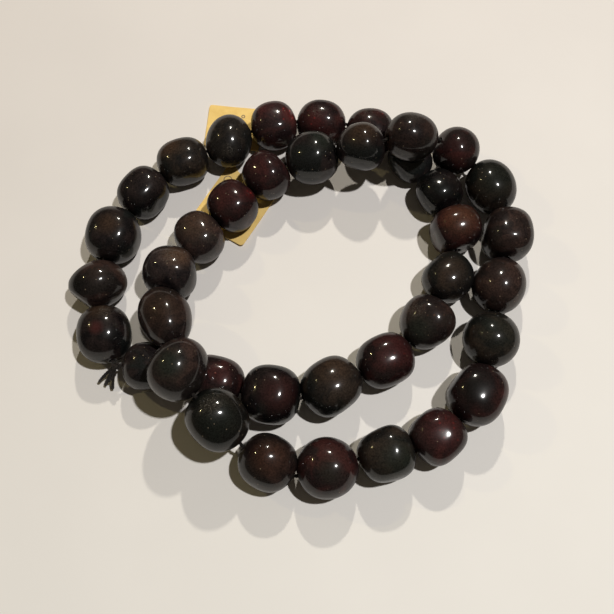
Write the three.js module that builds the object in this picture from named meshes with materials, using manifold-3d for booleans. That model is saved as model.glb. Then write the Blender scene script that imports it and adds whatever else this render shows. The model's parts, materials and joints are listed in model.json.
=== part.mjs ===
// Two tied strands of tumbled garnet nugget beads on dark cord, one laid over the other on a table, with a
// card tag under their far side. Millimetres, +Z up. The table is z = 0 and the origin is under the middle
// of the whole.
import * as THREE from "three";
import { mergeVertices } from "three/addons/utils/BufferGeometryUtils.js";
import Module from "manifold-3d";

const wasm = await Module();
wasm.setup();
const { Manifold, Mesh: SolidMesh } = wasm;

// Driving dimensions
const CORD = 0.7;
const HOLE = 1.7;
const BEAD_GAP = 0.2;
const BEAD_SIDES = 12;
const BEAD_RINGS = 8;
const BEAD_FULLNESS = 2.3;
const BEAD_LUMPS = 0.025;
const CARD_THICK = 0.35;
const CARD_CORNER = 0.7;
const KNOT = { x: -32.4, y: -14.9, z: 5.2, radius: 0.5, strand: 0.32, core: 0.66 };
const TAIL_THICK = 0.55;
const HOLE_MOUTH = 0.04;
const KNOT_GAP = 0.3;
const FIRST_COMES_FROM = new THREE.Vector3(-33, -19.2, 4.4);
const LAST_GOES_TO = new THREE.Vector3(-35.2, -13.8, 4.4);

// The stones' four body colours.
const BLACK = 0x17120f;
const BROWN = 0x2a1c16;
const RED = 0x2e1111;
const OLIVE = 0x1d1d16;

// Beads in the order they are threaded: where each one lies seen from above, how wide and how tall it is,
// and how far it is held off the table. Their lengths follow from the places of their neighbours. "slack"
// is the bare cord after a bead and "share" its part of the way to the next one. "turn" slants its body
// against the hole, "full" makes it squarer, "point" draws one side to a point and "taper" makes one end
// the bigger one.
const LOWER_LOOP = [
  { tint: BLACK, x: -34, y: -9.1, wide: 9.6, tall: 9.6, turn: -15, full: 2.3 },
  { tint: BROWN, x: -38.3, y: 0.6, wide: 10.5, tall: 9.5, turn: 20, full: 2.1, point: 0.15 },
  { tint: BLACK, x: -33.7, y: 9.4, wide: 9.7, tall: 10, turn: 8, full: 2.5, point: -0.2 },
  { tint: BLACK, x: -30.3, y: 19.2, wide: 8.3, tall: 8.9, turn: -5, full: 2.6 },
  { tint: OLIVE, x: -22.6, y: 25.3, wide: 8.6, tall: 8.8, turn: -10, full: 2.5 },
  { tint: OLIVE, x: -13.6, y: 29.4, wide: 10.6, tall: 8.4, lift: 0.5, turn: -33, full: 2 },
  { tint: RED, x: -5.6, y: 33.2, wide: 8.8, tall: 8.8, lift: 0.5, full: 2.5, point: -0.1 },
  { tint: RED, x: 3.9, y: 33.4, wide: 8.1, tall: 9, turn: -5 },
  { tint: RED, x: 13.2, y: 32, wide: 8.9, tall: 8.8, turn: 20 },
  { tint: BLACK, x: 21.6, y: 25.6, wide: 7.6, tall: 7.3 },
  { tint: BLACK, x: 25.5, y: 19.1, wide: 8.5, tall: 8.5 },
  { tint: RED, x: 29.4, y: 11, wide: 8.7, tall: 10.2, turn: 15, full: 2.9 },
  { tint: OLIVE, x: 26.2, y: 2.2, wide: 8.7, tall: 8.7, turn: -20, full: 2.2, point: -0.1, taper: 0.1 },
  { tint: BROWN, x: 22.9, y: -7.1, wide: 9.7, tall: 9.2, point: 0.15, taper: -0.15 },
  { tint: RED, x: 14.8, y: -13.9, wide: 9.1, tall: 9.4, turn: -5, full: 2.4 },
  { tint: OLIVE, x: 5.4, y: -17.9, wide: 9.9, tall: 10.2, turn: 12, full: 2.3 },
  { tint: BLACK, x: -5.1, y: -21.2, wide: 10.3, tall: 10.4, full: 2.6 },
  { tint: RED, x: -15.2, y: -16.2, wide: 8.9, tall: 8, slack: 3, turn: 5 },
  { tint: BLACK, x: -27.6, y: -15.1, wide: 8.6, tall: 8.4, lift: 0.3 },
];
const UPPER_LOOP = [
  { tint: BROWN, x: -21.1, y: -18.3, wide: 10.8, tall: 10.6, lift: 6.9, turn: 25, full: 2.1, taper: 0.1 },
  { tint: BROWN, x: -22.4, y: -6.6, wide: 8.9, tall: 9.5, lift: 4.3, turn: 20, full: 2, taper: 0.1 },
  { tint: BLACK, x: -24, y: 2.6, wide: 9.3, tall: 10, lift: 1.7, slack: 1.1, full: 2.6, taper: -0.15 },
  { tint: BROWN, x: -18.8, y: 9.9, wide: 9.8, tall: 9.4, full: 2.4 },
  { tint: RED, x: -12.2, y: 14.4, wide: 8.9, tall: 9.6, lift: 0.5, turn: -5, full: 2.6 },
  { tint: RED, x: -7.7, y: 22.8, wide: 9, tall: 9.3, lift: 0.5, slack: 1, turn: 8, full: 2.4, taper: 0.1 },
  { tint: BLACK, x: 2.8, y: 24.1, wide: 9.7, tall: 9.6, lift: 2.3 },
  { tint: BLACK, x: 10.7, y: 25.5, wide: 8.1, tall: 9.2, lift: 5.9, turn: -12, taper: 0.1 },
  { tint: BROWN, x: 19.8, y: 25.5, wide: 8.8, tall: 8.9, lift: 7.2, slack: 1.4, turn: -10, full: 2.1 },
  { tint: RED, x: 30, y: 27.6, wide: 8.8, tall: 9.2, lift: 1.6, slack: 1.3, full: 2.2 },
  { tint: OLIVE, x: 35.2, y: 19.7, wide: 9.4, tall: 9.1, turn: -10, full: 2.1, point: 0.1 },
  { tint: BROWN, x: 39.5, y: 10.3, wide: 9, tall: 9.9, full: 2.6, taper: 0.1 },
  { tint: BROWN, x: 34.4, y: -0.2, wide: 9.5, tall: 9.8, turn: -5, full: 2.1, point: -0.1 },
  { tint: OLIVE, x: 34.4, y: -9.8, wide: 10, tall: 9.8, full: 2.1, point: 0.1 },
  { tint: RED, x: 30.2, y: -19.8, wide: 10.1, tall: 10.2, full: 2.6, point: -0.3 },
  { tint: RED, x: 23.3, y: -27.7, wide: 9.1, tall: 9.4, turn: 10, full: 2.8, point: -0.1 },
  { tint: OLIVE, x: 14.3, y: -29.9, wide: 9.1, tall: 9.7, turn: 10, full: 2.7, taper: -0.1 },
  { tint: RED, x: 5.1, y: -31.8, wide: 10.3, tall: 10.2, slack: 0.9, turn: -6, full: 2.2, point: -0.2 },
  { tint: BROWN, x: -5.8, y: -33.1, wide: 9.5, tall: 9.8, slack: 1.1, share: 0.59 },
  { tint: OLIVE, x: -12.3, y: -24.2, wide: 10, tall: 10, lift: 4.5 },
];
const BEADS = [...LOWER_LOOP, ...UPPER_LOOP];

// The card tag: two leaves, each turned its own way, joined by a narrow neck under the strand.
const UPPER_LEAF = { x: -13.6, y: 35.2, width: 11, length: 9.4, turn: -5.5 };
const LOWER_LEAF = { x: -13, y: 18, width: 11.8, length: 12.9, turn: -31 };
const NECK_WIDTH = 2.6;

const rad = THREE.MathUtils.degToRad;

// A repeatable number between 0 and 1 for bead i and feature k.
function chance(i, k) {
  const v = Math.sin(i * 12.9898 + k * 78.233) * 43758.5453;
  return v - Math.floor(v);
}

function material(color, roughness) {
  return new THREE.MeshStandardMaterial({ color, roughness, metalness: 0 });
}

function named(geometry, name, color, roughness) {
  const mesh = new THREE.Mesh(geometry, material(color, roughness));
  mesh.name = name;
  return mesh;
}

// Closed skin over rings of points. In a torus the last ring joins the first one.
function skin(rings, torus) {
  const sides = rings[0].length;
  const flat = rings.flat().flatMap((p) => [p.x, p.y, p.z]);
  const faces = [];
  const last = torus ? rings.length : rings.length - 1;
  for (let r = 0; r < last; r++) {
    const next = (r + 1) % rings.length;
    for (let s = 0; s < sides; s++) {
      const t = (s + 1) % sides;
      const a = r * sides + s;
      const b = r * sides + t;
      const c = next * sides + s;
      const d = next * sides + t;
      faces.push(a, b, d, a, d, c);
    }
  }
  if (!torus) {
    const end = (rings.length - 1) * sides;
    for (let s = 1; s < sides - 1; s++) {
      faces.push(0, s + 1, s, end, end + s, end + s + 1);
    }
  }
  const geometry = new THREE.BufferGeometry();
  geometry.setAttribute("position", new THREE.Float32BufferAttribute(flat, 3));
  geometry.setIndex(faces);
  geometry.computeVertexNormals();
  return geometry;
}

// How much a tumbled nugget is fuller or flatter than its plain shape in one direction.
function lump(i, along, around) {
  const broad = Math.sin(2 * around + 6.3 * chance(i, 1)) * Math.sin(along);
  const skew = Math.sin(around + 6.3 * chance(i, 2)) * Math.cos(along);
  return 1 - BEAD_LUMPS * (0.3 + 0.6 * broad + 0.4 * skew);
}

// How far out the plain body reaches in a direction, as a scale on that direction. The body is turned about
// the upright against the hole; half is its half length along the hole.
function reach(bead, half, way) {
  const turn = rad(bead.turn ?? 0);
  const full = bead.full ?? BEAD_FULLNESS;
  const slant = Math.abs((Math.sin(turn) * half) / (bead.wide / 2));
  const axis = (Math.cos(turn) * half) / Math.pow(1 - Math.pow(slant, full), 1 / full);
  const forth = Math.abs(way.x * Math.cos(turn) + way.y * Math.sin(turn)) / axis;
  const side = Math.abs(way.y * Math.cos(turn) - way.x * Math.sin(turn)) / (bead.wide / 2);
  const up = Math.abs(way.z) / (bead.tall / 2);
  return Math.pow(forth ** full + side ** full + up ** full, -1 / full);
}

// One bead about its hole, which runs along local X; local Z is its upper side.
function nugget(i, bead) {
  const half = bead.long / 2;
  const rim = Math.asin(HOLE / bead.wide);
  const point = bead.point ?? 0;
  const rings = [];
  for (let r = 0; r < BEAD_RINGS; r++) {
    const along = rim + ((Math.PI - 2 * rim) * r) / (BEAD_RINGS - 1);
    const atRim = r === 0 || r === BEAD_RINGS - 1;
    const ring = [];
    for (let s = 0; s < BEAD_SIDES; s++) {
      const around = (2 * Math.PI * s) / BEAD_SIDES;
      const way = new THREE.Vector3(
        half * Math.cos(along),
        (bead.wide / 2) * Math.sin(along) * Math.cos(around),
        (bead.tall / 2) * Math.sin(along) * Math.sin(around),
      );
      const p = way.multiplyScalar(reach(bead, half, way));
      const pointed = Math.max(0, (Math.sign(point) * p.y) / (bead.wide / 2));
      const size = lump(i, along, around) * (1 + ((bead.taper ?? 0) * p.x) / half);
      p.x *= 1 - Math.abs(point) * pointed ** 2;
      p.y = atRim ? (HOLE / 2) * Math.cos(around) : p.y * size;
      p.z = atRim ? (HOLE / 2) * Math.sin(around) : p.z * size;
      ring.push(p);
    }
    rings.push(ring);
  }
  return skin(rings.reverse(), true);
}

// Where the middle of a bead lies: over its place on the table, as high as its lift and its own half.
function middle(bead) {
  return new THREE.Vector3(bead.x, bead.y, (bead.lift ?? 0) + bead.tall / 2);
}

// The strand's points by number, counted round the loop; a loop tied with a knot has its own ends instead.
function pointsOf(loop, knotted) {
  const at = loop.map(middle);
  return (k) => {
    if (!knotted) return at[(k + loop.length) % loop.length];
    return k < 0 ? FIRST_COMES_FROM : (at[k] ?? LAST_GOES_TO);
  };
}

// How sharply the strand bends at its point k, square to its own run.
function bend(point, k) {
  const run = point(k + 1).clone().sub(point(k - 1)).normalize();
  const inward = point(k - 1).clone().lerp(point(k + 1), 0.5).sub(point(k));
  return inward.addScaledVector(run, -inward.dot(run)).multiplyScalar(2);
}

// The place where beads k and k + 1 meet, on a smooth curve through the middles of the beads; share is
// bead k's part of the way.
function joint(point, k, knotted, count, share = 0.5) {
  const bends = new THREE.Vector3();
  if (!knotted || k >= 0) bends.add(bend(point, k));
  if (!knotted || k < count - 1) bends.add(bend(point, k + 1));
  return point(k).clone().lerp(point(k + 1), share).addScaledVector(bends, -1 / 8);
}

// Bare cord between beads k and k + 1; beads that meet at an angle stand further apart.
function bareCord(point, k, slack) {
  const run = (n) => point(n + 1).clone().sub(point(n - 1)).normalize();
  const angle = slack === undefined ? run(k).angleTo(run(k + 1)) : 0;
  const pitch = point(k).distanceTo(point(k + 1));
  return (slack ?? BEAD_GAP) + pitch * (1 - Math.cos(angle / 2));
}

// Gives each bead the two ends of its hole, which stop short of the joints on either side.
function thread(loop, knotted) {
  const count = loop.length;
  const point = pointsOf(loop, knotted);
  const step = (k) => point(k + 1).clone().sub(point(k)).normalize();
  const bare = (k) => {
    if (knotted && (k < 0 || k === count - 1)) return KNOT_GAP;
    return bareCord(point, k, loop[(k + count) % count].slack);
  };
  const meet = (k) => joint(point, k, knotted, count, loop[(k + count) % count].share);
  loop.forEach((bead, i) => {
    bead.entry = meet(i - 1).addScaledVector(step(i - 1), bare(i - 1) / 2);
    bead.exit = meet(i).addScaledVector(step(i), -bare(i) / 2);
    bead.long = bead.entry.distanceTo(bead.exit);
  });
}

// Turns local X to the hole's direction and keeps local Y level.
function frameAlong(direction) {
  const across = new THREE.Vector3(-direction.y, direction.x, 0).normalize();
  const up = direction.clone().cross(across);
  return new THREE.Matrix4().makeBasis(direction, across, up);
}

// A bead in its place. One that isn't lifted is let down until it touches the table.
function placedBead(i, bead) {
  const direction = bead.exit.clone().sub(bead.entry).normalize();
  const centre = bead.entry.clone().lerp(bead.exit, 0.5);
  const geometry = nugget(i, bead).applyMatrix4(frameAlong(direction));
  geometry.translate(centre.x, centre.y, centre.z);
  geometry.computeBoundingBox();
  const drop = geometry.boundingBox.min.z - (bead.lift ?? 0);
  geometry.translate(0, 0, -drop);
  bead.drop = drop;
  return geometry;
}

// Rings of a round cord along a list of points; each ring squares up to the mean of its two runs.
function cordRings(points, radius, sides, closed) {
  const count = points.length;
  const side = new THREE.Vector3(0, 0, 1);
  return points.map((p, i) => {
    const before = points[closed ? (i + count - 1) % count : Math.max(i - 1, 0)];
    const after = points[closed ? (i + 1) % count : Math.min(i + 1, count - 1)];
    const ahead = after.clone().sub(before).normalize();
    const across = side.clone().cross(ahead).normalize();
    const up = ahead.clone().cross(across);
    return Array.from({ length: sides }, (_, s) => {
      const angle = (2 * Math.PI * s) / sides;
      const out = across.clone().multiplyScalar(radius * Math.cos(angle));
      return out.addScaledVector(up, radius * Math.sin(angle)).add(p);
    });
  });
}

// A closed geometry as a solid that can be joined to others.
function toSolid(geometry) {
  const bare = new THREE.BufferGeometry();
  bare.setAttribute("position", geometry.getAttribute("position"));
  bare.setIndex(geometry.index);
  const merged = mergeVertices(bare, 1e-4);
  return new Manifold(
    new SolidMesh({
      numProp: 3,
      vertProperties: new Float32Array(merged.getAttribute("position").array),
      triVerts: new Uint32Array(merged.index.array),
    }),
  );
}

function cordSolid(points, radius, sides, closed) {
  return toSolid(skin(cordRings(points, radius, sides, closed), closed));
}

// The cord's route: through each hole, bending only between beads, sagging where it is bare.
function cordRoute(loop) {
  const route = [];
  const ends = loop.map((bead) => {
    const letDown = new THREE.Vector3(0, 0, -bead.drop);
    return [bead.entry.clone().add(letDown), bead.exit.clone().add(letDown)];
  });
  ends.forEach(([entry, exit], i) => {
    route.push(entry.clone().lerp(exit, HOLE_MOUTH), entry.clone().lerp(exit, 1 - HOLE_MOUTH));
    if (loop[i].slack > 2) {
      const next = ends[i + 1];
      const leaving = exit.clone().lerp(entry, -0.07);
      const arriving = next[0].clone().lerp(next[1], -0.07);
      const sag = new THREE.Vector3(0, 0, -0.12 * loop[i].slack);
      route.push(leaving, leaving.clone().lerp(arriving, 0.5).add(sag), arriving);
    }
  });
  return route;
}

// The knot is a small overhand turn of the cord round a solid heart.
function knotPoints() {
  return Array.from({ length: 18 }, (_, i) => {
    const t = (2 * Math.PI * i) / 18;
    const spread = KNOT.radius * (0.75 + 0.35 * Math.cos(3 * t));
    return new THREE.Vector3(
      KNOT.x + spread * Math.cos(2 * t),
      KNOT.y + spread * Math.sin(2 * t),
      KNOT.z + KNOT.radius * 0.6 * Math.sin(3 * t),
    );
  });
}

// Cut ends of the cord that fan out of the knot and droop to the table.
const TAILS = [
  { x: -36.4, y: -17, z: 1.2 },
  { x: -35.1, y: -17.7, z: 1.2 },
  { x: -33.8, y: -18.3, z: 1.3 },
  { x: -35.9, y: -15.4, z: 4.3 },
];

function tailPoints(tip) {
  const root = new THREE.Vector3(KNOT.x, KNOT.y, KNOT.z);
  const end = new THREE.Vector3(tip.x, tip.y, tip.z);
  const bend = root.clone().lerp(end, 0.5).add(new THREE.Vector3(0, 0, 0.3));
  return new THREE.QuadraticBezierCurve3(root, bend, end).getPoints(3);
}

function fromSolid(solid) {
  const made = solid.getMesh();
  const position = [];
  for (let v = 0; v < made.numVert; v++) {
    position.push(...made.vertProperties.subarray(v * made.numProp, v * made.numProp + 3));
  }
  const geometry = new THREE.BufferGeometry();
  geometry.setAttribute("position", new THREE.Float32BufferAttribute(position, 3));
  geometry.setIndex([...made.triVerts]);
  geometry.computeVertexNormals();
  return geometry;
}

// The lower loop's cord, its knot and its cut ends are one piece.
function lowerCord() {
  const knotAt = new THREE.Vector3(KNOT.x, KNOT.y, KNOT.z);
  const run = cordSolid([knotAt, ...cordRoute(LOWER_LOOP)], CORD / 2, 6, true);
  const knot = cordSolid(knotPoints(), KNOT.strand, 6, true);
  const heart = new THREE.SphereGeometry(KNOT.core, 12, 8).translate(KNOT.x, KNOT.y, KNOT.z);
  const tails = TAILS.map((tip) => cordSolid(tailPoints(tip), TAIL_THICK / 2, 6, false));
  return fromSolid(Manifold.union([run, knot, toSolid(heart), ...tails]));
}

// The upper loop's cord closes on itself; its own knot is drawn into a bead and can't be seen.
function upperCord() {
  return fromSolid(cordSolid(cordRoute(UPPER_LOOP), CORD / 2, 6, true));
}

// A corner of a leaf: sx and sy pick the side, the leaf's own turn is applied.
function leafPoint(leaf, sx, sy) {
  const local = new THREE.Vector2((sx * leaf.width) / 2, (sy * leaf.length) / 2);
  return local.rotateAround(new THREE.Vector2(), rad(leaf.turn)).add(new THREE.Vector2(leaf.x, leaf.y));
}

// Outline with its corners rounded.
function roundedShape(corners, radius) {
  const shape = new THREE.Shape();
  corners.forEach((corner, i) => {
    const before = corners[(i + corners.length - 1) % corners.length];
    const after = corners[(i + 1) % corners.length];
    const back = Math.min(radius, corner.distanceTo(before) / 2);
    const on = Math.min(radius, corner.distanceTo(after) / 2);
    const from = corner.clone().add(before.clone().sub(corner).setLength(back));
    const to = corner.clone().add(after.clone().sub(corner).setLength(on));
    if (i === 0) shape.moveTo(from.x, from.y);
    else shape.lineTo(from.x, from.y);
    shape.quadraticCurveTo(corner.x, corner.y, to.x, to.y);
  });
  shape.closePath();
  return shape;
}

function tag() {
  const neckShare = NECK_WIDTH / UPPER_LEAF.width;
  const neckSide = -0.5;
  const corners = [
    leafPoint(UPPER_LEAF, -1, 1),
    leafPoint(UPPER_LEAF, -1, -1),
    leafPoint(UPPER_LEAF, neckSide - neckShare, -1),
    leafPoint(LOWER_LEAF, -0.98, 1),
    leafPoint(LOWER_LEAF, -1, -1),
    leafPoint(LOWER_LEAF, 1, -1),
    leafPoint(LOWER_LEAF, 1, 1),
    leafPoint(LOWER_LEAF, 2 * neckShare - 0.98, 1),
    leafPoint(UPPER_LEAF, neckSide + neckShare, -1),
    leafPoint(UPPER_LEAF, 1, -1),
    leafPoint(UPPER_LEAF, 1, 1),
  ];
  return new THREE.ExtrudeGeometry(roundedShape(corners, CARD_CORNER), {
    depth: CARD_THICK,
    bevelEnabled: false,
    curveSegments: 4,
  });
}

function build() {
  const group = new THREE.Group();
  thread(LOWER_LOOP, true);
  thread(UPPER_LOOP, false);
  BEADS.forEach((bead, i) => {
    const name = "bead_" + String(i + 1).padStart(2, "0");
    group.add(named(placedBead(i, bead), name, bead.tint, 0.12));
  });
  group.add(named(lowerCord(), "cord_lower", 0x1d1712, 0.85));
  group.add(named(upperCord(), "cord_upper", 0x1d1712, 0.85));
  group.add(named(tag(), "tag", 0xd9b978, 0.8));
  const centre = new THREE.Box3().setFromObject(group).getCenter(new THREE.Vector3());
  group.position.set(-centre.x, -centre.y, 0);
  return group;
}

export default build();
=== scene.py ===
# %% [markdown]
# # Two tied strands of garnet nuggets with a card tag
# Thirty-nine tumbled garnet beads lie on a pale table. One loop of dark cord carries nineteen of them,
# a second loop carries the other twenty, and a buff card tag lies under the far side.
# The exact solids come first: they say where every piece is, and the script only dresses them.

import json
import math

import bpy
import numpy as np
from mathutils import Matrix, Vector, noise
from mathutils.geometry import delaunay_2d_cdt


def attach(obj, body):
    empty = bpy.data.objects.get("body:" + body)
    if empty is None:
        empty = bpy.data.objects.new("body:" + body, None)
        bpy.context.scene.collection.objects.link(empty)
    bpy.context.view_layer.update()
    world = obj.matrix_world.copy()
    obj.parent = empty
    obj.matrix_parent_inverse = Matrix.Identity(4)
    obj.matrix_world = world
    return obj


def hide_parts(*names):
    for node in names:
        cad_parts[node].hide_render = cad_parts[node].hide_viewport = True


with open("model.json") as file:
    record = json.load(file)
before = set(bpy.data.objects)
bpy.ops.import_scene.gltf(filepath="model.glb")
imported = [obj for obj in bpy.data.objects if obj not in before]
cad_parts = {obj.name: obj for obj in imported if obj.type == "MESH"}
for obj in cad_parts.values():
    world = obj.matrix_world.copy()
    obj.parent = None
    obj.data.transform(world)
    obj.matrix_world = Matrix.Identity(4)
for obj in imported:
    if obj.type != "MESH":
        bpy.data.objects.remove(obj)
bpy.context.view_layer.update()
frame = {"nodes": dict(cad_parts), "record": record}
MM = 0.001
BEADS = sorted(name for name in frame["nodes"] if name.startswith("bead_"))

# %% [markdown]
# ## Camera
# The photo looks almost straight down, leaning 17 degrees away from the reader. The lens and the
# place were worked out from how the beads' sizes and lamp glints change over the picture.
# Depth of field stays off, so that any other view is sharp too.

# %% Camera
SENSOR = 36.0
LENS = 43.97
CLIP_START = 5 * MM
CAMERA_PLACE = Vector((0.90, -45.50, 133.6)) * MM
CAMERA_TILT = math.radians(17.3)

camera_data = bpy.data.cameras.new("camera")
camera_data.lens = LENS
camera_data.sensor_width = SENSOR
camera_data.clip_start = CLIP_START
camera = bpy.data.objects.new("camera", camera_data)
camera.location = CAMERA_PLACE
camera.rotation_euler = (CAMERA_TILT, 0, 0)
bpy.context.scene.collection.objects.link(camera)
bpy.context.scene.camera = camera
bpy.context.scene.view_settings.view_transform = "Standard"
bpy.context.scene.view_settings.look = "None"
print("camera", round(LENS, 1), "mm, tilt", round(math.degrees(CAMERA_TILT), 1))

# %% [markdown]
# ## Lamps
# Each bead shows three small glints: a strong white lamp almost overhead, a weaker white one beyond
# the strand and a small yellowish one to the left. The same lamps throw the layered shadows: dark
# where both white lamps are hidden, pale where only the far one is. A lamp's strength is set by
# the share of the table's brightness that it gives, so the shares can be read off the shadows.

# %% Lamps
# Each lamp: its place in metres, its share of the table's light, its colour and its radius.
LAMPS = {
    "lamp_over": ((0.185, 0.015, 0.57), 0.64, (1.0, 0.985, 0.97), 0.010),
    "lamp_far": ((0.02, 0.215, 0.25), 0.27, (1.0, 0.945, 0.83), 0.005),
    "lamp_side": ((-0.26, 0.115, 0.25), 0.04, (1.0, 0.84, 0.42), 0.003),
}


def hang_lamp(name, place, share, colour, radius):
    """A small round lamp that gives the middle of the table this share of its light."""
    away = Vector(place)
    data = bpy.data.lights.new(name, "POINT")
    facing = share * math.pi / away.normalized().z
    data.energy = facing * 4 * math.pi * away.length**2
    data.color = colour
    data.shadow_soft_size = radius
    made = bpy.data.objects.new(name, data)
    made.location = away
    bpy.context.scene.collection.objects.link(made)


for lamp_name, lamp_values in LAMPS.items():
    hang_lamp(lamp_name, *lamp_values)
print("lamps", list(LAMPS))

# %% [markdown]
# ## Node helpers
# Every finish is a few nodes on the object's own coordinates. These helpers add a node with its
# values in one line and join sockets, so that each material reads as a recipe.

# %% Add and join nodes


def set_value(socket, value):
    """Sets a socket to a plain value. A colour is given as three numbers."""
    socket.default_value = (*value, 1) if socket.type == "RGBA" else value


def join(tree, source, target):
    """Joins two sockets, or sets the second one to a plain value."""
    if isinstance(source, bpy.types.NodeSocket):
        tree.links.new(source, target)
    else:
        set_value(target, source)


def put(tree, kind, **values):
    """Adds a node. Lower-case names are the node's settings, the others are its sockets."""
    node = tree.nodes.new(kind)
    for key, value in values.items():
        if key[0].islower():
            setattr(node, key, value)
        else:
            set_value(node.inputs[key.replace("_", " ")], value)
    return node


def new_group(name, ins, outs):
    """A shader node group with named inputs and outputs; ins maps a name to (kind, value)."""
    tree = bpy.data.node_groups.new(name, "ShaderNodeTree")
    for title, (kind, value) in ins.items():
        socket = tree.interface.new_socket(title, in_out="INPUT", socket_type="NodeSocket" + kind)
        socket.default_value = (*value, 1) if kind == "Color" else value
    for title, kind in outs.items():
        tree.interface.new_socket(title, in_out="OUTPUT", socket_type="NodeSocket" + kind)
    return tree, tree.nodes.new("NodeGroupInput"), tree.nodes.new("NodeGroupOutput")


def new_material(name, **values):
    """A material whose shader has these plain values on its own sockets."""
    made = bpy.data.materials.new(name)
    made.use_nodes = True
    shader = made.node_tree.nodes["Principled BSDF"]
    for key, value in values.items():
        set_value(shader.inputs[key.replace("_", " ")], value)
    return made, made.node_tree, shader


print("helpers that build node trees ready")

# %% [markdown]
# Small steps that the recipes share: sums, a soft threshold, a mix of two colours, noise, the
# distance to a place, and the normal of a surface with a little relief.

# %% Steps of a recipe


def math_node(tree, operation, a, b=0.0, clamp=False):
    node = put(tree, "ShaderNodeMath", operation=operation, use_clamp=clamp)
    join(tree, a, node.inputs[0])
    join(tree, b, node.inputs[1])
    return node.outputs[0]


def scaled(tree, vector, scale):
    node = put(tree, "ShaderNodeVectorMath", operation="SCALE")
    join(tree, vector, node.inputs[0])
    join(tree, scale, node.inputs["Scale"])
    return node.outputs[0]


def between(tree, value, low, high):
    """Turns a value into 0 to 1 as it goes from low to high, smoothly."""
    node = put(tree, "ShaderNodeMapRange", interpolation_type="SMOOTHSTEP")
    for title, source in (("Value", value), ("From Min", low), ("From Max", high)):
        join(tree, source, node.inputs[title])
    return node.outputs["Result"]


def blend(tree, amount, a, b):
    """Goes from colour a to colour b."""
    node = put(tree, "ShaderNodeMix", data_type="RGBA")
    for source, number in ((amount, 0), (a, 6), (b, 7)):
        join(tree, source, node.inputs[number])
    return node.outputs[2]


def own_place(tree):
    """Where a point is on the object itself, so that a pattern stays put."""
    return put(tree, "ShaderNodeTexCoord").outputs["Object"]


def noise_at(tree, where, **values):
    node = put(tree, "ShaderNodeTexNoise", **values)
    join(tree, where, node.inputs["Vector"])
    return node.outputs["Fac"]


def distance_to(tree, where, place):
    node = put(tree, "ShaderNodeVectorMath", operation="DISTANCE")
    join(tree, where, node.inputs[0])
    join(tree, place, node.inputs[1])
    return node.outputs["Value"]


def relief(tree, height, strength, distance):
    """The normal of a surface with this height, from 0 to a distance, felt with some strength."""
    node = put(tree, "ShaderNodeBump", Strength=strength, Distance=distance)
    join(tree, height, node.inputs["Height"])
    return node.outputs["Normal"]


print("steps of a recipe ready")

# %% [markdown]
# ## Soft fill and backdrop
# The room gives a warm, dim light from all round. It could be a sky texture, but a plain colour is
# enough under three lamps. The camera itself sees a grey wall instead, so that a view from the
# side has a quiet backdrop, and the wall lights nothing.

# %% Soft fill and backdrop
FILL_COLOUR = (1.0, 0.84, 0.62)
FILL_STRENGTH = 0.06
WALL_COLOUR = (0.36, 0.34, 0.31)

world = bpy.data.worlds.new("soft_room")
world.use_nodes = True
room = world.node_tree
fill = room.nodes["Background"]
set_value(fill.inputs["Color"], FILL_COLOUR)
set_value(fill.inputs["Strength"], FILL_STRENGTH)
wall = put(room, "ShaderNodeBackground", Color=WALL_COLOUR)
either = put(room, "ShaderNodeMixShader")
join(room, put(room, "ShaderNodeLightPath").outputs["Is Camera Ray"], either.inputs[0])
join(room, fill.outputs[0], either.inputs[1])
join(room, wall.outputs[0], either.inputs[2])
join(room, either.outputs[0], room.nodes["World Output"].inputs[0])
bpy.context.scene.world = world
print("fill", FILL_STRENGTH, "and backdrop", WALL_COLOUR)

# %% [markdown]
# ## The table
# A plain sheet of off-white card. It is stage, not part of the object. Its colour has a breath of
# mottling, and painted shade darkens it a little towards the far left.

# %% Table
TABLE_HALF = 1.2
TABLE_DROP = 0.00002
# The far colour is painted shade: the card darkens from the near colour to it along the given way.
TABLE_LIT_COLOUR = (0.893, 0.869, 0.826)
TABLE_SHADED_COLOUR = (0.700, 0.660, 0.630)
TABLE_SHADE_REACH = 90 * MM
TABLE_SHADE_WAY = (-0.3, 1.0, 0.0)
TABLE_MOTTLE = 0.02


def table_finish():
    made, tree, shader = new_material("table_card", Roughness=0.7, Specular_IOR_Level=0.2)
    where = own_place(tree)
    along = put(tree, "ShaderNodeVectorMath", operation="DOT_PRODUCT")
    join(tree, where, along.inputs[0])
    join(tree, TABLE_SHADE_WAY, along.inputs[1])
    painted_shade = between(tree, along.outputs["Value"], -TABLE_SHADE_REACH, TABLE_SHADE_REACH)
    # Painted shade: the colour goes from the lit near colour to the darker far one.
    colour = blend(tree, painted_shade, TABLE_LIT_COLOUR, TABLE_SHADED_COLOUR)
    soft = between(tree, noise_at(tree, where, Scale=40.0, Detail=3.0), 0.35, 0.7)
    mottle = math_node(tree, "MULTIPLY", soft, TABLE_MOTTLE)
    level = math_node(tree, "ADD", mottle, 1 - TABLE_MOTTLE)
    join(tree, scaled(tree, colour, level), shader.inputs["Base Color"])
    return made


def lay_table():
    mesh = bpy.data.meshes.new("table")
    corners = [(x * TABLE_HALF, y * TABLE_HALF, 0) for x, y in ((-1, -1), (1, -1), (1, 1), (-1, 1))]
    mesh.from_pydata(corners, [], [(0, 1, 2, 3)])
    mesh.materials.append(table_finish())
    made = bpy.data.objects.new("table", mesh)
    bpy.context.scene.collection.objects.link(made)
    made.location.z = -TABLE_DROP


lay_table()
print("table laid,", 2 * TABLE_HALF, "m wide")

# %% [markdown]
# ## Reading a bead off its solid
# A solid comes as loose triangles, so the corners that triangles share are merged first. The merged
# corners, edges and faces are read from a copy: the solid itself is never changed.

# %% Merge a solid's corners
SAME_POINT = 2e-6


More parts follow.
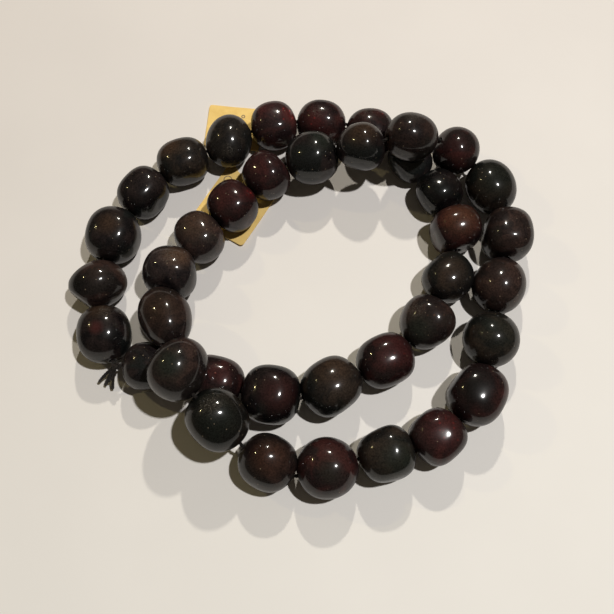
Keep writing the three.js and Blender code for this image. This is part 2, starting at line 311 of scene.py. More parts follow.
def merged_mesh(node):
    """The solid's own corners, edges and faces, with the loose triangles' repeated points merged."""
    mesh = frame["nodes"][node].data
    places, index, merged = [], {}, []
    steps = (0, -1, 1)
    for vertex in mesh.vertices:
        x, y, z = (round(c / SAME_POINT) for c in vertex.co)
        close = ((x + i, y + j, z + k) for i in steps for j in steps for k in steps)
        near = next((index[key] for key in close if key in index), None)
        if near is None:
            near = index[x, y, z] = len(places)
            places.append(np.array(vertex.co))
        merged.append(near)
    edges = {tuple(sorted((merged[a], merged[b]))) for a, b in mesh.edge_keys}
    faces = [[merged[v] for v in face.vertices] for face in mesh.polygons]
    return np.array(places), [e for e in edges if e[0] != e[1]], faces


print("the first bead has", len(merged_mesh(BEADS[0])[0]), "corners")

# %% [markdown]
# A bead's solid is twelve-sided and has eight rings from one end of its hole to the other. Only the
# hole's walls have edges longer than half a bead, so they give the hole's direction. The corners
# are sorted by their angle about the hole into twelve seams, and each seam from end to end.

# %% Read a bead's rings
SIDES = 12
LONG_EDGE = 5.5 * MM
# A seam that starts this little before zero, in radians, is still the first one and not the last.
FIRST_SEAM = -0.13


def bead_rings(node):
    """The corners as rings along the hole, and the hole's ends: (rings, sides, 3), start, end."""
    points, edges, _ = merged_mesh(node)
    long = [(a, b) for a, b in edges if np.linalg.norm(points[a] - points[b]) > LONG_EDGE]
    rim = points[sorted({i for edge in long for i in edge})]
    rough = points[long[0][1]] - points[long[0][0]]
    side = (rim - rim.mean(0)) @ rough > 0
    start, end = rim[~side].mean(0), rim[side].mean(0)
    axis = (end - start) / np.linalg.norm(end - start)
    across = np.array([-axis[1], axis[0], 0]) / math.hypot(axis[0], axis[1])
    up = np.cross(axis, across)
    out = points - start
    angle = np.arctan2(out @ up, out @ across)
    angle[angle < FIRST_SEAM] += 2 * math.pi
    seams = np.argsort(angle, kind="stable").reshape(SIDES, -1)
    seams = [seam[np.argsort(out[seam] @ axis)] for seam in seams]
    return points[np.array(seams).T], start, end


first_rings, first_start, first_end = bead_rings(BEADS[0])
print("a bead is", first_rings.shape[0], "rings of", first_rings.shape[1], "corners, hole",
      round(float(np.linalg.norm(first_end - first_start)) / MM, 2), "mm long")

# %% [markdown]
# ## A smooth nugget
# A tumbled nugget is one full, slightly lumpy skin. A ball squashed by hand would lose the measured
# shape, and subdividing the solid would shrink it, so each bead starts as a cubic skin that passes
# through the solid's own corners.

# %% Cubic skin through the rings
AROUND = 80
ALONG = 52


def cubic_weights(count, closed, at):
    """Rows of weights that take a cubic curve's knots to its points at the given parameters."""
    rows = np.zeros((count, count))
    right = np.zeros((count, count))
    for i in range(count):
        if closed or 0 < i < count - 1:
            rows[i, (i - 1) % count] += 1
            rows[i, i] += 4
            rows[i, (i + 1) % count] += 1
            right[i, (i - 1) % count] += 6
            right[i, i] -= 12
            right[i, (i + 1) % count] += 6
        else:
            near = 1 if i == 0 else count - 2
            rows[i, i] += 1
            rows[i, near] -= 1
    bend = np.linalg.solve(rows, right)
    made = []
    for t in at:
        k = int(math.floor(t)) if closed else min(int(t), count - 2)
        f = t - k
        a, b = k % count, (k + 1) % count
        unit = np.eye(count)
        row = (1 - f) * unit[a] + f * unit[b]
        row = row + ((1 - f) ** 3 - (1 - f)) / 6 * bend[a] + (f**3 - f) / 6 * bend[b]
        made.append(row)
    return np.array(made)


def nugget_points(rings):
    rows = cubic_weights(len(rings), False, np.linspace(0, len(rings) - 1, ALONG))
    columns = cubic_weights(SIDES, True, np.linspace(0, SIDES, AROUND, endpoint=False))
    return np.einsum("ar,bs,rsk->abk", rows, columns, rings)


print("nugget skin:", ALONG, "rows of", AROUND)

# %% [markdown]
# The cubic skin still shows the rings as faint bands in its reflections. A real nugget bends evenly,
# so the skin is drawn to the radius that a few smooth functions of direction give when they are
# fitted to the corners. Near the hole the skin stays as it was, so that it still meets the lip.

# %% Round off the bands
POWERS = [(i, j, d - i - j) for d in (3, 4) for i in range(d + 1) for j in range(d + 1 - i)]
EASED_ROWS = 6


def smooth_terms(ways):
    """The smooth functions of direction that a tumbled stone's radius is made of."""
    return np.stack([ways[:, 0]**i * ways[:, 1]**j * ways[:, 2]**k for i, j, k in POWERS], axis=1)


def rounded(skin, rings, centre):
    """Draws the skin towards the smoothest nugget through the corners, but not at the hole."""
    out = rings.reshape(-1, 3) - centre
    reach = np.linalg.norm(out, axis=1)
    weights = np.linalg.lstsq(smooth_terms(out / reach[:, None]), reach, rcond=None)[0]
    away = skin - centre
    size = np.linalg.norm(away, axis=2, keepdims=True)
    wanted = (smooth_terms((away / size).reshape(-1, 3)) @ weights).reshape(size.shape)
    row = np.arange(len(skin))
    share = np.clip(np.minimum(row, row[::-1]) / EASED_ROWS, 0, 1)[:, None, None]
    share = share * share * (3 - 2 * share)
    return centre + away * (1 + share * (wanted / size - 1))


print("a nugget's radius is made of", len(POWERS), "smooth terms")

# %% [markdown]
# Tumbling leaves its traces: slow lumps of about a tenth of a millimetre, which bend the glints, and
# on two beads sides that stayed flatter. Lumps could be bump in the material, but then the outline
# would be too clean, so the skin itself is moved.

# %% Lumps and flats
# Each noise: its scale, and how far in millimetres it moves the skin.
SLOW_SCALE, SLOW_LUMP = 190, 0.16
QUICK_SCALE, QUICK_LUMP = 620, 0.010
FLAT_SOFT = 0.5 * MM
# Each flat: its direction, and the share of the bead's reach that stays.
FLATS = {
    "bead_02": (((-0.67, 0.74, 0.0), 0.84), ((-0.57, -0.82, 0.0), 0.87)),
    "bead_34": (((-0.78, 0.62, 0.1), 0.9),),
}


def flattened(skin, centre, flats):
    """Presses soft flats into the skin."""
    made = skin - centre
    for way, share in flats:
        way = np.array(way) / np.linalg.norm(way)
        height = made @ way
        limit = height.max() * share - FLAT_SOFT
        over = np.maximum(height - limit, 0)
        pressed = limit + FLAT_SOFT * (1 - np.exp(-over / FLAT_SOFT))
        made += (np.where(over > 0, pressed - height, 0)[..., None]) * way
    return centre + made


def lumpy(points, centre, seed):
    """Moves each point in or out by a slow noise, but never below the table."""
    made = points.copy()
    for p in made.reshape(-1, 3):
        out = Vector(p - centre)
        slow = noise.noise(out * SLOW_SCALE + Vector((seed, 0, 0)))
        quick = noise.noise(out * QUICK_SCALE + Vector((0, seed, 0)))
        p += np.array(out.normalized()) * (SLOW_LUMP * slow + QUICK_LUMP * quick) * MM
        p[2] = max(p[2], 0.0)
    return made


print("beads with flats:", list(FLATS))

# %% [markdown]
# The drilled hole breaks the skin in a small lip. The rows of the skin go on over the lip and down
# the wall at both ends, and the last row joins the first one, so the mesh is closed like a ring.

# %% Lip of the hole
LIP_RADIUS = 0.55 * MM
LIP_DEPTH = 0.16 * MM
# Steps into the hole: the depth in lip depths, and how far the row has closed to the lip's radius.
LIP_STEPS = ((0.35, 0.85), (0.75, 1.0), (1.6, 1.0))


def hole_rows(start, end, first, last):
    """Rows that carry the skin over the hole's lip and down the drilled wall."""
    axis = (end - start) / np.linalg.norm(end - start)
    rows = [(end, -axis, last, *step) for step in LIP_STEPS]
    rows += [(start, axis, first, *step) for step in reversed(LIP_STEPS)]
    made = []
    for centre, inward, rim, depth, share in rows:
        out = rim - centre
        flat = out - np.outer(out @ axis, axis)
        size = np.linalg.norm(flat, axis=1, keepdims=True)
        radius = size * (1 - share) + LIP_RADIUS * share
        made.append(rim - flat * (1 - radius / size) + inward * LIP_DEPTH * depth)
    return np.array(made)


print("the lip is", round(LIP_DEPTH * LIP_STEPS[-1][0] / MM, 2), "mm deep")

# %% [markdown]
# Three helpers turn points into pieces. The faces of a closed mesh must point outwards, and every
# piece rides the one body of the part, gets its finish and hides the solid that it stands for.

# %% From points to a piece


def grid_mesh(name, rows):
    """A mesh over closed rows of points that also close on the first row."""
    count, around = rows.shape[:2]
    faces = []
    for r in range(count):
        n = (r + 1) % count
        for s in range(around):
            t = (s + 1) % around
            faces.append((r * around + s, r * around + t, n * around + t, n * around + s))
    mesh = bpy.data.meshes.new(name)
    mesh.from_pydata(rows.reshape(-1, 3).tolist(), [], faces)
    mesh.polygons.foreach_set("use_smooth", [True] * len(faces))
    return mesh


def facing_out(mesh):
    """Turns the faces round if the closed mesh encloses a negative volume."""
    mesh.calc_loop_triangles()
    co = np.zeros(len(mesh.vertices) * 3)
    mesh.vertices.foreach_get("co", co)
    co = co.reshape(-1, 3)
    tri = np.array([t.vertices[:] for t in mesh.loop_triangles])
    a, b, c = co[tri[:, 0]], co[tri[:, 1]], co[tri[:, 2]]
    if np.einsum("ij,ij->i", a, np.cross(b, c)).sum() < 0:
        mesh.flip_normals()
    return mesh


def add_piece(name, mesh, finish, slot, *nodes):
    made = bpy.data.objects.new(name, mesh)
    bpy.context.scene.collection.objects.link(made)
    mesh.materials.clear()
    mesh.materials.append(finish)
    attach(made, "root")
    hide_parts(*nodes)
    return made


print("piece helpers ready")

# %% [markdown]
# ## Polished garnet
# Bead garnet is nearly black with a brown, red or green cast. Under the polish one sees soft
# clouds of two tones, a fine grain, pale specks and, where the stone is clearer, sparks of red
# light. The pale specks are dust together with painted glints of tiny bumps. Some beads are
# scuffed, and there the polish is hazy, with a painted pale sheen on the scratches. These effects
# are in one group that every bead shares. It gives only a colour, a roughness, how much polish is
# left and a height. The gloss itself is the shader's. The steps of the group come first.

# %% Steps of the stone group
CLOUD_SCALE, CAST_SCALE = 230.0, 150.0
GRAIN_SCALE, GRAIN_MIDDLE, GRAIN_SWING = 3200.0, 0.48, 4.2
SPECK_SCALE, SPARK_SCALE = 2100.0, 1700.0
SCRATCH_SCALE, RIPPLE_SCALE = 1500.0, 900.0
# The speck colour paints pale dust together with glints of tiny bumps.
SPECK_DUST_AND_GLINT_COLOUR = (0.20, 0.155, 0.105)
# The scuff colour paints the pale sheen that light gives on the scratches.
SCUFF_SHEEN_COLOUR = (0.10, 0.09, 0.075)
SPARK_GLOW, SPARK_FLASH = 0.09, 0.9
SCUFF_HAZE, SCUFF_SHEEN_SHARE = 0.6, 0.7
SPECK_DEPTH, SCUFF_DEPTH = 0.6, 0.8
LEAST_ROUGH, GRAIN_ROUGH = 0.3, 0.2


def spot(tree, where, place, reach):
    """1 at a place, falling softly to 0 at the reach."""
    return between(tree, math_node(tree, "DIVIDE", distance_to(tree, where, place), reach), 1.0, 0.15)


def cells_at(tree, where, scale):
    """Scattered cells: a random number for each one and the distance from its middle."""
    node = put(tree, "ShaderNodeTexVoronoi", Scale=scale, Randomness=1.0)
    join(tree, where, node.inputs["Vector"])
    split = put(tree, "ShaderNodeSeparateColor")
    join(tree, node.outputs["Color"], split.inputs[0])
    return split.outputs[0], node.outputs["Distance"]


def clouded(tree, where, given):
    """The body with its clouds, its cast and one patch of another tone."""
    cloud = noise_at(tree, where, Scale=CLOUD_SCALE, Detail=4.0, Roughness=0.62, Distortion=0.8)
    cast = noise_at(tree, where, Scale=CAST_SCALE, Detail=2.0, Roughness=0.5, Distortion=0.4)
    colour = blend(tree, between(tree, cloud, 0.38, 0.64), given["Body"], given["Cloud"])
    colour = blend(tree, between(tree, cast, 0.50, 0.62), colour, given["Cast"])
    patch = spot(tree, where, given["Patch Place"], given["Patch Reach"])
    uneven = math_node(tree, "MULTIPLY", patch, math_node(tree, "ADD", cloud, 0.5), clamp=True)
    return blend(tree, math_node(tree, "MULTIPLY", uneven, given["Patch Amount"]), colour,
                 given["Patch"])


def specks(tree, where):
    """Small round dots in one cell out of twenty-five: dust and painted glints."""
    number, distance = cells_at(tree, where, SPECK_SCALE)
    return math_node(tree, "MULTIPLY", between(tree, number, 0.955, 0.965),
                     between(tree, distance, 0.26, 0.14))


def sparks(tree, where, given):
    """Flashes and a faint glow where a lamp shines into the stone."""
    lit, off = cells_at(tree, where, SPARK_SCALE)
    flash = math_node(tree, "MULTIPLY", between(tree, lit, 0.72, 1.0), between(tree, off, 0.5, 0.1))
    under = math_node(tree, "ADD", math_node(tree, "MULTIPLY", flash, SPARK_FLASH), SPARK_GLOW)
    near = spot(tree, where, given["Spark Place"], given["Spark Reach"])
    return math_node(tree, "MULTIPLY", math_node(tree, "MULTIPLY", under, near),
                     given["Spark Amount"], clamp=True)


def scuffs(tree, where, given):
    """Short tangled scratches about a place."""
    scratch = noise_at(tree, where, Scale=SCRATCH_SCALE, Detail=4.0, Roughness=0.75, Distortion=3.0)
    worn = spot(tree, where, given["Scuff Place"], given["Scuff Reach"])
    return math_node(tree, "MULTIPLY", between(tree, scratch, 0.5, 0.62), worn)


print("garnet has clouds, a cast, a patch, grain, specks, sparks and scuffs")

# %% [markdown]
# The group's inputs are the colours and places that differ from bead to bead.

# %% Stone group
STONE_INS = {
    "Body": ("Color", (0.02, 0.013, 0.01)),
    "Cloud": ("Color", (0.03, 0.02, 0.015)),
    "Cast": ("Color", (0.01, 0.012, 0.009)),
    "Patch": ("Color", (0.03, 0.02, 0.015)),
    "Patch Place": ("Vector", (0, 0, 0)),
    "Patch Reach": ("Float", 0.003),
    "Patch Amount": ("Float", 0.0),
    "Spark": ("Color", (0.5, 0.04, 0.03)),
    "Spark Place": ("Vector", (0, 0, 0)),
    "Spark Reach": ("Float", 0.003),
    "Spark Amount": ("Float", 0.0),
    "Dust And Glints": ("Float", 0.5),
    "Tone": ("Float", 1.0),
    "Polish": ("Float", 0.4),
    "Scuff Place": ("Vector", (0, 0, 0)),
    "Scuff Reach": ("Float", 0.003),
}
STONE_OUTS = {"Color": "Color", "Roughness": "Float", "Polish": "Float", "Height": "Float"}


def stone_group():
    tree, inner, out = new_group("polished_stone", STONE_INS, STONE_OUTS)
    given = {title: inner.outputs[title] for title in STONE_INS}
    where = own_place(tree)

    def times(a, b):
        return math_node(tree, "MULTIPLY", a, b)

    grain = noise_at(tree, where, Scale=GRAIN_SCALE, Detail=3.0, Roughness=0.8)
    swing = times(math_node(tree, "SUBTRACT", grain, GRAIN_MIDDLE), GRAIN_SWING)
    level = math_node(tree, "ADD", times(swing, given["Dust And Glints"]), 1.0)
    colour = scaled(tree, scaled(tree, clouded(tree, where, given), level), given["Tone"])
    speck = specks(tree, where)
    # Pale specks: dust and painted glints of tiny bumps.
    colour = blend(tree, times(speck, given["Dust And Glints"]), colour, SPECK_DUST_AND_GLINT_COLOUR)
    scuff = scuffs(tree, where, given)
    # Scratches with a painted pale sheen.
    colour = blend(tree, times(scuff, SCUFF_SHEEN_SHARE), colour, SCUFF_SHEEN_COLOUR)
    colour = blend(tree, sparks(tree, where, given), colour, given["Spark"])
    rough = math_node(tree, "ADD", times(grain, GRAIN_ROUGH), LEAST_ROUGH)
    left = math_node(tree, "SUBTRACT", 1.0, times(scuff, SCUFF_HAZE))
    ripple = noise_at(tree, where, Scale=RIPPLE_SCALE, Detail=3.0, Roughness=0.55)
    pits = math_node(tree, "ADD", times(speck, SPECK_DEPTH), times(scuff, SCUFF_DEPTH))
    join(tree, colour, out.inputs["Color"])
    join(tree, rough, out.inputs["Roughness"])
    join(tree, times(left, given["Polish"]), out.inputs["Polish"])
    join(tree, math_node(tree, "SUBTRACT", ripple, pits), out.inputs["Height"])
    return tree


STONE = stone_group()
print("stone group has", len(STONE.nodes), "nodes")

# %% [markdown]
# ## Kinds of stone
# The beads fall into four kinds of stone. Each kind has its body, cloud and cast colour. Some stones
# are lighter or darker than their kind. The tones were set by comparing one bead after the other.

# %% Kinds and tones
KINDS = {
    "garnet_black": ((0.0048, 0.0040, 0.0044), (0.0172, 0.0118, 0.0110), (0.0070, 0.0078, 0.0074)),
    "garnet_brown": ((0.0100, 0.0068, 0.0066), (0.0310, 0.0178, 0.0145), (0.0122, 0.0096, 0.0086)),
    "garnet_red": ((0.0098, 0.0056, 0.0058), (0.0335, 0.0115, 0.0104), (0.0150, 0.0095, 0.0090)),
    "garnet_olive": ((0.0072, 0.0064, 0.0060), (0.0240, 0.0170, 0.0128), (0.0068, 0.0072, 0.0066)),
}
TONES = {
    "bead_01": 0.85, "bead_04": 0.85, "bead_06": 1.2, "bead_07": 1.3, "bead_09": 0.85,
    "bead_10": 1.5, "bead_11": 0.65, "bead_12": 0.9, "bead_15": 0.8, "bead_17": 0.75,
    "bead_18": 0.85, "bead_19": 1.25, "bead_21": 0.85, "bead_22": 1.8, "bead_23": 1.5,
    "bead_24": 0.85, "bead_28": 0.85, "bead_29": 0.8, "bead_30": 0.75, "bead_34": 0.9,
    "bead_38": 0.75, "bead_39": 0.65,
}
print(len(KINDS), "kinds of stone,", len(TONES), "beads with a tone of their own")

# %% [markdown]
# Single beads have a patch of another tone, a redder place where a lamp shines into the stone, or a
# scuffed place. On two beads the dark patch on the left is a darker tone and also painted shade of
# the unlit side. Places are given in the bead's own radii from its middle: to the right, away from
# the reader and up. They are followed by the reach, also in radii, the amount and the colour.

# %% What single beads show
RED_LIGHT = (0.42, 0.035, 0.03)
BROWN_LIGHT = (0.16, 0.07, 0.04)
RUST = (0.060, 0.022, 0.011)
UMBER = (0.036, 0.020, 0.012)
WINE = (0.036, 0.009, 0.009)
MOSS = (0.010, 0.0125, 0.0095)
SOOT = (0.005, 0.0045, 0.0042)
# A painted grey sheen of reflected light, for one scuffed bead.
PAINTED_GREY_SHEEN = (0.035, 0.030, 0.026)
NO_PATCH = ((0, 0, 1), 0.5, 0.0, UMBER)
NO_SPARK = ((0, 0, 1), 0.5, 0.0, RED_LIGHT)
NO_SCUFF = ((0, 0, 1), 0.01)
PATCHES = {
    "bead_01": ((-0.1, 0.7, 0.7), 0.6, 0.8, UMBER),
    # Dark patch on the left: the stone's darker tone together with painted shade.
    "bead_02": ((-0.62, -0.2, 0.72), 0.85, 1.0, SOOT),
    "bead_03": ((0.05, 0.1, 0.99), 0.6, 0.7, UMBER),
    "bead_05": ((-0.45, 0.35, 0.8), 0.75, 0.9, UMBER),
    "bead_06": ((0.1, -0.3, 0.95), 1.1, 0.6, SOOT),
    "bead_07": ((-0.3, 0.5, 0.8), 0.8, 0.5, WINE),
    "bead_08": ((-0.2, -0.3, 0.93), 0.8, 0.6, WINE),
    "bead_12": ((0.0, 0.1, 0.99), 1.0, 0.7, RUST),
    "bead_13": ((0.0, 0.0, 0.99), 0.9, 0.5, UMBER),
    # Dark patch to the lower left: the stone's darker tone together with painted shade.
    "bead_14": ((-0.4, -0.4, 0.8), 0.8, 0.8, MOSS),
    "bead_15": ((0.4, 0.3, 0.85), 0.9, 0.7, WINE),
    "bead_16": ((0.0, 0.45, 0.9), 0.9, 0.6, UMBER),
    "bead_17": ((0.3, -0.1, 0.95), 0.9, 0.6, WINE),
    "bead_20": ((-0.15, 0.0, 0.99), 0.75, 0.9, MOSS),
    "bead_21": ((0.0, 0.2, 0.98), 1.0, 0.5, UMBER),
    "bead_22": ((0.35, 0.3, 0.88), 0.7, 0.8, UMBER),
    "bead_23": ((0.0, 0.2, 0.98), 1.0, 0.5, UMBER),
    "bead_24": ((0.0, 0.1, 0.99), 1.0, 0.5, WINE),
    "bead_25": ((-0.2, 0.1, 0.97), 1.0, 0.5, WINE),
    "bead_26": ((0.35, 0.25, 0.9), 0.7, 0.8, MOSS),
    "bead_27": ((0.0, 0.2, 0.98), 0.9, 0.7, UMBER),
    # Painted sheen: the grey patch near the top stands for light reflected on the scuffed polish.
    "bead_28": ((0.0, 0.45, 0.9), 0.6, 0.6, PAINTED_GREY_SHEEN),
    "bead_30": ((0.0, 0.0, 0.99), 1.2, 0.8, MOSS),
    "bead_33": ((0.1, 0.0, 0.99), 1.1, 0.6, MOSS),
    "bead_34": ((-0.2, -0.05, 0.98), 0.95, 0.95, SOOT),
    "bead_35": ((-0.1, 0.1, 0.99), 1.1, 0.5, WINE),
    "bead_36": ((0.35, -0.2, 0.9), 0.9, 0.8, MOSS),
    "bead_37": ((0.0, -0.2, 0.98), 0.6, 0.6, MOSS),
    "bead_38": ((0.1, 0.1, 0.98), 0.9, 0.5, RUST),
    "bead_39": ((0.1, -0.1, 0.98), 1.2, 0.9, MOSS),
}
SPARKS = {
    "bead_01": ((-0.05, 0.0, 0.99), 0.35, 0.7, RED_LIGHT),
    "bead_02": ((0.2, 0.15, 0.95), 0.55, 0.5, BROWN_LIGHT),
    "bead_07": ((0.62, 0.1, 0.76), 0.55, 1.0, RED_LIGHT),
    "bead_08": ((-0.35, -0.3, 0.85), 0.6, 0.25, RED_LIGHT),
    "bead_09": ((0.3, 0.5, 0.8), 0.5, 0.4, RED_LIGHT),
    "bead_12": ((0.1, 0.1, 0.98), 0.8, 0.3, BROWN_LIGHT),
    "bead_14": ((0.3, 0.0, 0.9), 0.6, 0.35, BROWN_LIGHT),
    "bead_15": ((0.2, 0.1, 0.95), 0.7, 0.2, RED_LIGHT),
    "bead_17": ((0.3, -0.2, 0.9), 0.8, 0.22, BROWN_LIGHT),
    "bead_18": ((0.3, 0.1, 0.9), 0.6, 0.45, RED_LIGHT),
    "bead_23": ((0.2, 0.3, 0.9), 0.7, 0.25, BROWN_LIGHT),
    "bead_24": ((0.7, 0.2, 0.68), 0.45, 0.7, RED_LIGHT),
    "bead_29": ((-0.2, -0.3, 0.9), 0.7, 0.25, RED_LIGHT),
    "bead_35": ((0.2, 0.1, 0.95), 0.8, 0.25, RED_LIGHT),
    "bead_37": ((0.1, 0.1, 0.95), 0.7, 0.2, BROWN_LIGHT),
    "bead_39": ((-0.1, 0.3, 0.93), 0.45, 0.3, BROWN_LIGHT),
}
SCUFFS = {
    "bead_01": ((0.1, 0.65, 0.7), 0.45),
    "bead_06": ((0.1, -0.7, 0.65), 0.4),
    "bead_08": ((-0.2, 0.0, 0.95), 0.4),
    "bead_09": ((-0.2, 0.5, 0.8), 0.5),
    "bead_14": ((-0.5, 0.3, 0.75), 0.5),
    "bead_22": ((0.1, 0.3, 0.95), 0.5),
    "bead_28": ((0.0, 0.55, 0.8), 0.5),
    "bead_39": ((-0.1, 0.38, 0.9), 0.6),
}
print(len(PATCHES), "patches,", len(SPARKS), "sparks and", len(SCUFFS), "scuffs")

# %% [markdown]
# The polish is a coat with the stone's own high gloss, which gives the sharp glints and the bright
# rims. It has a low weight, because the photo shows the reflections of the pale table dark. Under
# it a dull, low gloss spreads each glint into a soft halo. Only that layer feels the relief, because
# the export knows no relief of a coat.

# %% A bead's finish
GARNET_IOR = 1.78
POLISH = 0.40
POLISH_ROUGHNESS = 0.10
UNDER_IOR = 1.125
STONE_DUST_AND_GLINTS = 0.8
STONE_RELIEF = (0.25, 0.04 * MM)


def placed(title, shown, centre, radius):
    """The group's values for what a bead shows at a place. A scuff has no amount and no colour."""
    place, reach, *rest = shown
    values = {title + " Place": centre + Vector(place) * radius, title + " Reach": reach * radius}
    if rest:
        values[title + " Amount"], values[title] = rest
    return values


def stone_finish(name, kind, centre, radius):
    """A bead's own look: its kind's colours, its patch, its sparks and its scuffs."""
    made, tree, shader = new_material(name + "_stone", Coat_Roughness=POLISH_ROUGHNESS,
                                      Coat_IOR=GARNET_IOR, IOR=UNDER_IOR)
    look = tree.nodes.new("ShaderNodeGroup")
    look.node_tree = STONE
    values = {
        **dict(zip(("Body", "Cloud", "Cast"), KINDS[kind])),
        **placed("Patch", PATCHES.get(name, NO_PATCH), centre, radius),
        **placed("Spark", SPARKS.get(name, NO_SPARK), centre, radius),
        **placed("Scuff", SCUFFS.get(name, NO_SCUFF), centre, radius),
        "Dust And Glints": STONE_DUST_AND_GLINTS, "Tone": TONES.get(name, 1.0), "Polish": POLISH,
    }
    for title, value in values.items():
        set_value(look.inputs[title], value)
    join(tree, look.outputs["Color"], shader.inputs["Base Color"])
    join(tree, look.outputs["Roughness"], shader.inputs["Roughness"])
    join(tree, look.outputs["Polish"], shader.inputs["Coat Weight"])
    join(tree, relief(tree, look.outputs["Height"], *STONE_RELIEF), shader.inputs["Normal"])
    return made


slot_of_node = {row["node"]: row["material_slot"] for row in frame["record"]["subparts"]}
print("kinds of stone:", sorted(set(slot_of_node[name] for name in BEADS)))

# %% [markdown]
# ## Thirty-nine beads
# Now each bead is made in turn from its own solid: read, rounded, flattened, given its lumps and its
# hole's lips, and dressed in its kind of stone. Copies of one bead would be quicker, but no two
# tumbled nuggets are alike.

# %% Make the beads
SEED_STEP = 7.3
HOLES = {}


def dress_bead(name, seed):
    rings, start, end = bead_rings(name)
    HOLES[name] = (start, end)
    centre = rings.reshape(-1, 3).mean(0)
    skin = rounded(nugget_points(rings), rings, centre)
    skin = flattened(skin, centre, FLATS.get(name, ()))
    skin = lumpy(skin, centre, seed)
    rows = np.concatenate([skin, hole_rows(start, end, skin[0], skin[-1])])
    mesh = facing_out(grid_mesh(name + "_nugget", rows))
    radius = float(np.linalg.norm(rings.reshape(-1, 3) - centre, axis=1).max())
    finish = stone_finish(name, slot_of_node[name], Vector(centre), radius)
    return add_piece(name + "_nugget", mesh, finish, slot_of_node[name], name)


nuggets = [dress_bead(name, SEED_STEP * i) for i, name in enumerate(BEADS)]
print("beads made:", len(nuggets), "with", sum(len(o.data.polygons) for o in nuggets), "faces")

# %% [markdown]
# ## Cord
# The cord is thin dark thread of three twisted plies. It is seen between beads, at the knot and at
# its cut ends. A plain tube would look like wire, so a Geometry Nodes tree winds the plies round any
# path: it moves the path's points out by the ply's offset, at an angle that grows with the length.

# %% Twisted cord tree
PLY_SIDES = 8


def twist_tree():
    """Winds plies round a path. Inputs: Ply Radius, Offset, Pitch, Plies, Finish."""
    tree = bpy.data.node_groups.new("twisted_cord", "GeometryNodeTree")
    face = tree.interface
    face.new_socket("Geometry", in_out="INPUT", socket_type="NodeSocketGeometry")
    for title, kind in (("Ply Radius", "Float"), ("Offset", "Float"), ("Pitch", "Float"),
                        ("Plies", "Int"), ("Finish", "Material")):
        face.new_socket(title, in_out="INPUT", socket_type="NodeSocket" + kind)
    face.new_socket("Geometry", in_out="OUTPUT", socket_type="NodeSocketGeometry")
    given = tree.nodes.new("NodeGroupInput")
    out = tree.nodes.new("NodeGroupOutput")
    copies = put(tree, "GeometryNodeDuplicateElements", domain="SPLINE")
    join(tree, given.outputs["Geometry"], copies.inputs["Geometry"])
    join(tree, given.outputs["Plies"], copies.inputs["Amount"])
    length = put(tree, "GeometryNodeSplineParameter").outputs["Length"]
    turns = math_node(tree, "DIVIDE", length, given.outputs["Pitch"])
    share = math_node(tree, "DIVIDE", copies.outputs["Duplicate Index"], given.outputs["Plies"])
    angle = math_node(tree, "MULTIPLY", math_node(tree, "ADD", turns, share), 2 * math.pi)
    turned = put(tree, "ShaderNodeVectorRotate", rotation_type="AXIS_ANGLE")
    join(tree, put(tree, "GeometryNodeInputNormal").outputs[0], turned.inputs["Vector"])
    join(tree, put(tree, "GeometryNodeInputTangent").outputs[0], turned.inputs["Axis"])
    join(tree, angle, turned.inputs["Angle"])
    shift = scaled(tree, turned.outputs[0], given.outputs["Offset"])
    moved = put(tree, "GeometryNodeSetPosition")
    join(tree, copies.outputs["Geometry"], moved.inputs["Geometry"])
    join(tree, shift, moved.inputs["Offset"])
    section = put(tree, "GeometryNodeCurvePrimitiveCircle", mode="RADIUS", Resolution=PLY_SIDES)
    join(tree, given.outputs["Ply Radius"], section.inputs["Radius"])
    tube = put(tree, "GeometryNodeCurveToMesh", Fill_Caps=True)
    join(tree, moved.outputs[0], tube.inputs["Curve"])
    join(tree, section.outputs[0], tube.inputs["Profile Curve"])
    real = put(tree, "GeometryNodeRealizeInstances")
    join(tree, tube.outputs[0], real.inputs[0])
    smooth = put(tree, "GeometryNodeSetShadeSmooth")
    join(tree, real.outputs[0], smooth.inputs["Geometry"])
    skin = put(tree, "GeometryNodeSetMaterial")
    join(tree, smooth.outputs[0], skin.inputs["Geometry"])
    join(tree, given.outputs["Finish"], skin.inputs["Material"])
    join(tree, skin.outputs[0], out.inputs[0])
    return tree


TWIST = twist_tree()
print("cord tree has", len(TWIST.nodes), "nodes")

# %% [markdown]
# The tree needs a path with even steps, so a cubic curve through a few places is walked at a fixed
# step. The tree's result is turned into a plain mesh, and the path with its modifier goes away.

# %% Wind plies round a path
PLIES = 3
PLY_TWIST = 2.4 * MM
FINE_STEPS = 12


def smooth_path(points, step, closed):
    """Points at even steps on a cubic curve through the given ones."""
    points = np.array(points, float)
    count = len(points)
    last = count if closed else count - 1
    stop = -1 if closed else None
    fine = np.linspace(0, last, FINE_STEPS * last + 1)[:stop]
    curve = cubic_weights(count, closed, fine) @ points
    ring = np.vstack([curve, curve[:1]]) if closed else curve
    run = np.concatenate([[0], np.cumsum(np.linalg.norm(np.diff(ring, axis=0), axis=1))])
    number = max(int(run[-1] / step), 4)
    at = np.linspace(0, run[-1], number + 1)[:stop]
    return np.stack([np.interp(at, run, ring[:, k]) for k in range(3)], axis=1)


def path_object(name, runs, closed):
    """One curve object with a poly spline for each run of points."""
    curve = bpy.data.curves.new(name, "CURVE")
    curve.dimensions = "3D"
    for run in runs:
        spline = curve.splines.new("POLY")
        spline.points.add(len(run) - 1)
        spline.points.foreach_set("co", np.hstack([run, np.ones((len(run), 1))]).ravel())
        spline.use_cyclic_u = closed
    made = bpy.data.objects.new(name, curve)
    bpy.context.scene.collection.objects.link(made)
    return made


